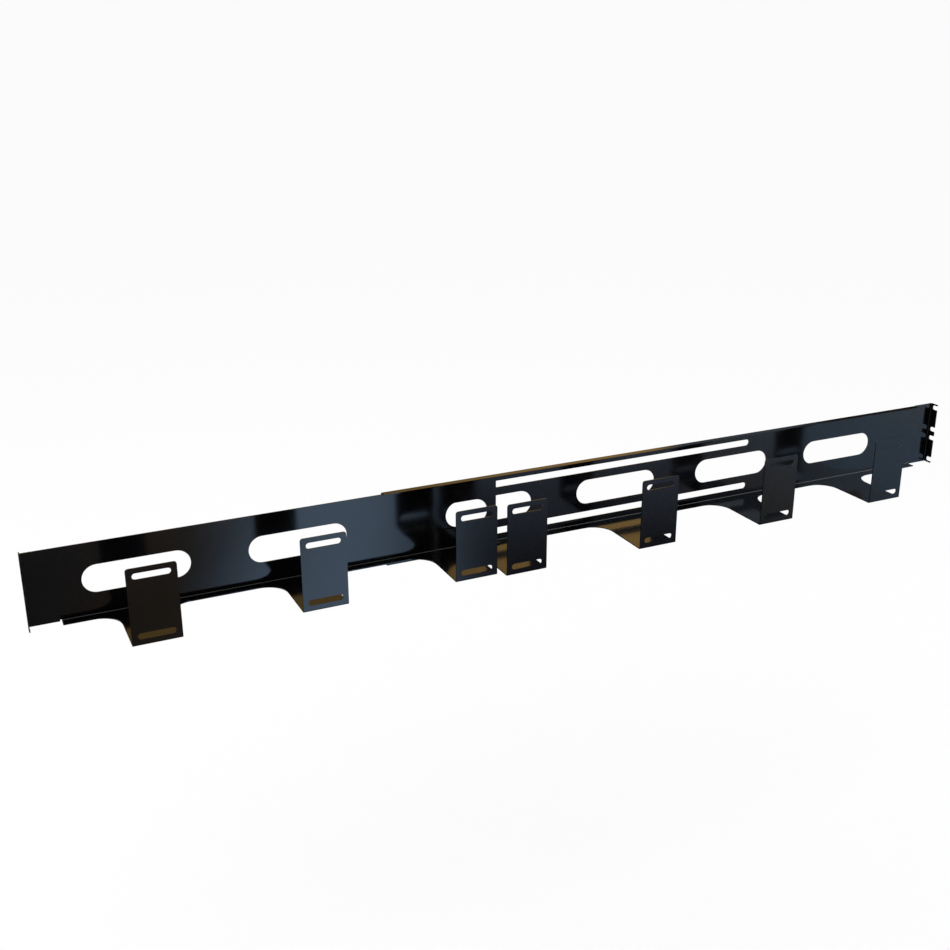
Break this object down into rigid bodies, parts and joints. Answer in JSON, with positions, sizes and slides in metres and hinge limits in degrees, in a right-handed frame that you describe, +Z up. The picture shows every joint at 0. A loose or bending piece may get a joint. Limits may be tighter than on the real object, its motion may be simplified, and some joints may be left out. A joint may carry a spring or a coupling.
{
  "type": "front-to-rear cable manager",
  "caption": "Telescoping folded-steel cable manager for a rack: slotted web, hooks with strap slots along one side and a notched mounting ear at each end.",
  "frame": {"origin": "on the front ear's outer face, at the middle of its four screw notches", "axes": "+X from the front ear to the rear ear, -Y towards the hooks, +Z up"},
  "size_m": [1.234, 0.1091, 0.0866],
  "materials": {
    "black_coat": "glossy black powder coat on steel sheet",
    "zinc_steel": "bright zinc plated steel"
  },
  "bodies": {
    "front": {"front_section": "black_coat", "clamp_studs": "zinc_steel", "clamp_washers": "zinc_steel", "clamp_nuts": "zinc_steel"},
    "rear": {"rear_section": "black_coat"}
  },
  "joints": [
    {"name": "telescope", "type": "slide", "parent": "front", "child": "rear", "axis": [1, 0, 0], "range_m": [-0.3864, 0.0078]}
  ]
}
